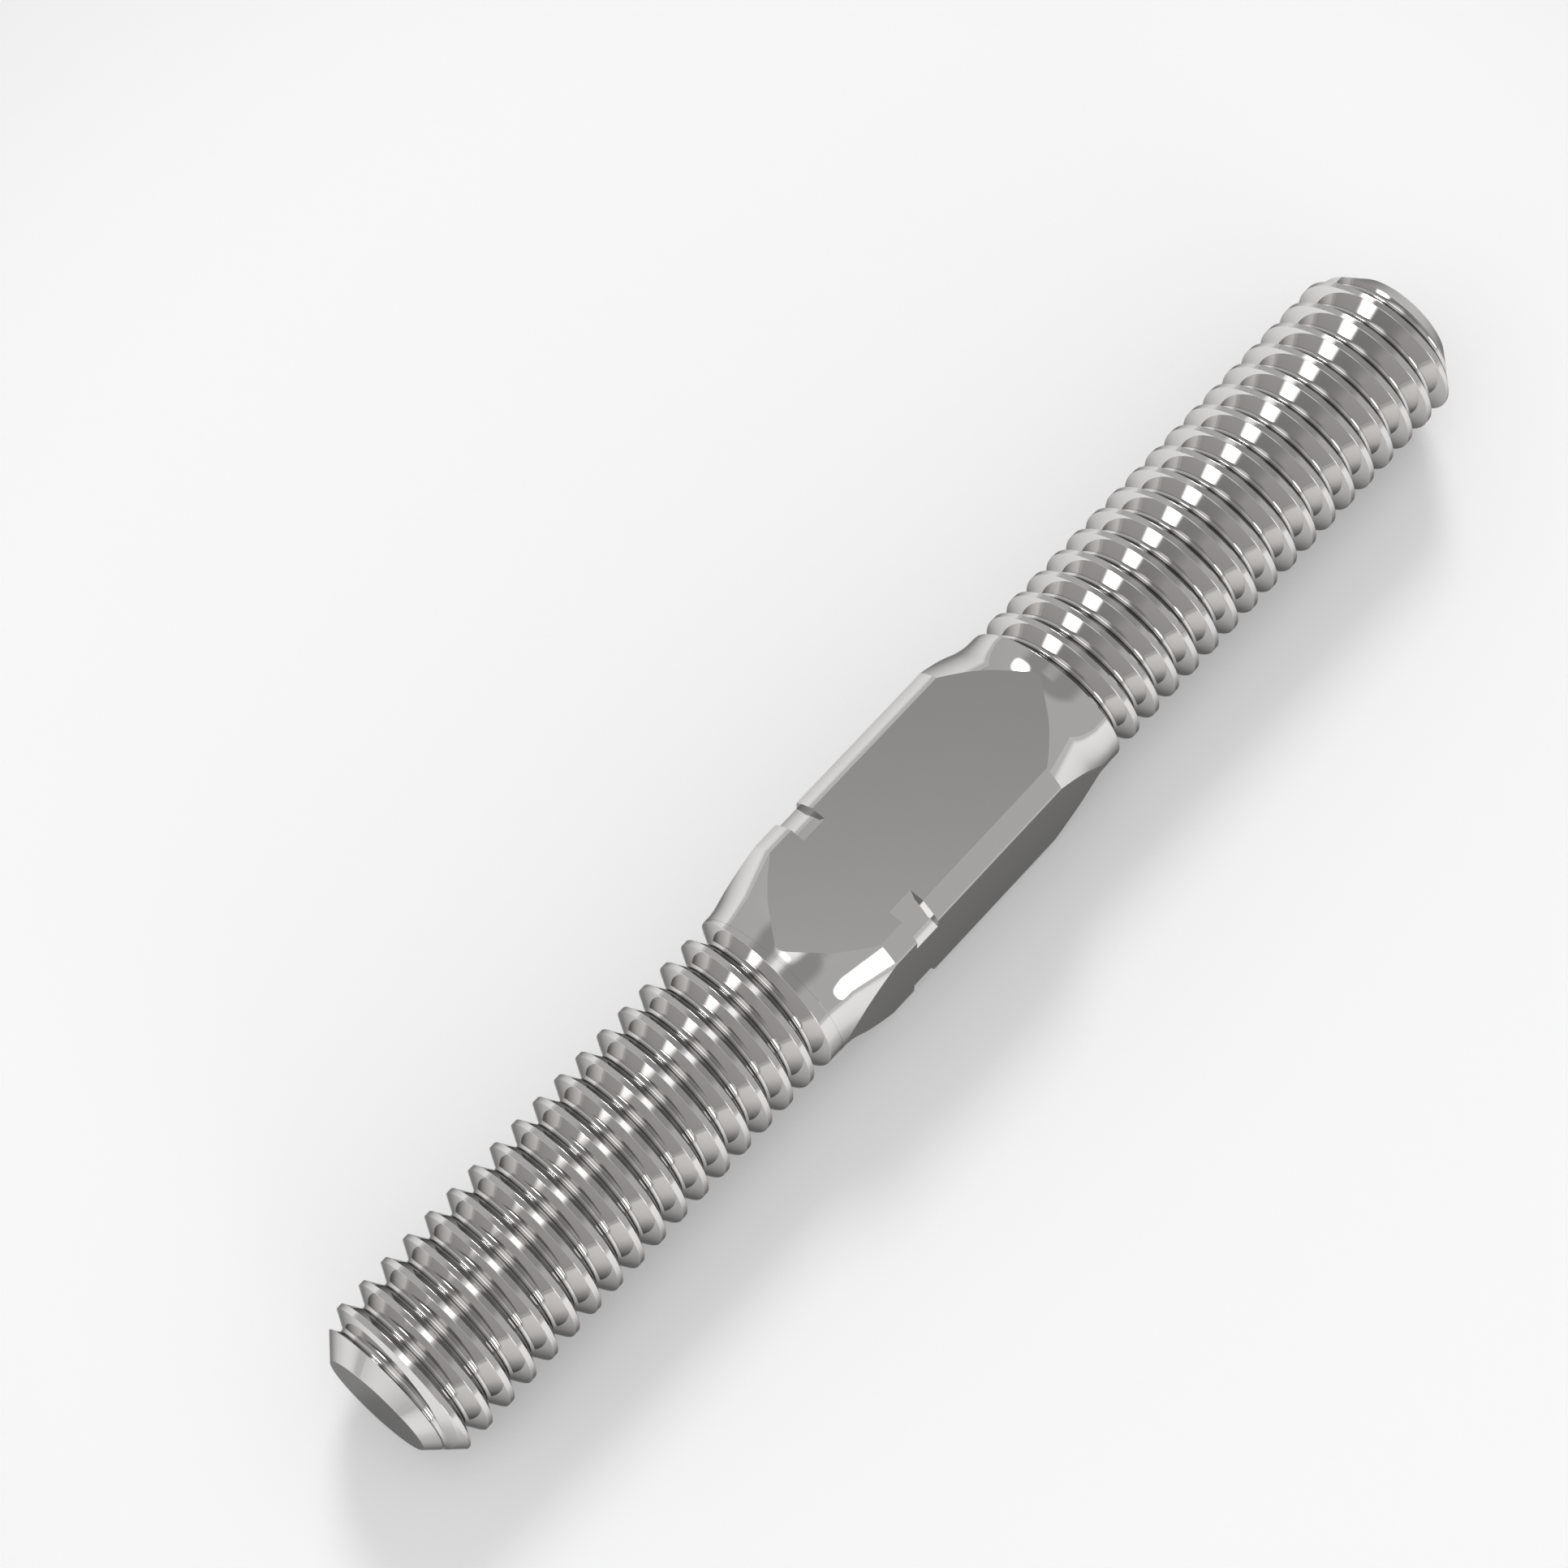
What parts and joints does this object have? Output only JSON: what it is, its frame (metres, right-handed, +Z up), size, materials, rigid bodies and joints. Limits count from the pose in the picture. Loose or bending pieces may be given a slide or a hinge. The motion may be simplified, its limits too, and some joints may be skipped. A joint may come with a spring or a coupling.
{
  "type": "turnbuckle",
  "caption": "One-piece steel turnbuckle bar with a left-hand and a right-hand threaded end, milled wrench flats in the middle and a groove that marks the left-hand end.",
  "frame": {"origin": "centre of the bar, on its axis", "axes": "+X along the axis to the right-hand threaded end, +Z up out of the top wrench flat, with the bar lying on the opposite flat"},
  "size_m": [0.0498, 0.006, 0.006],
  "materials": {
    "steel": "polished"
  },
  "bodies": {
    "root": {"turnbuckle": "steel"}
  },
  "joints": []
}
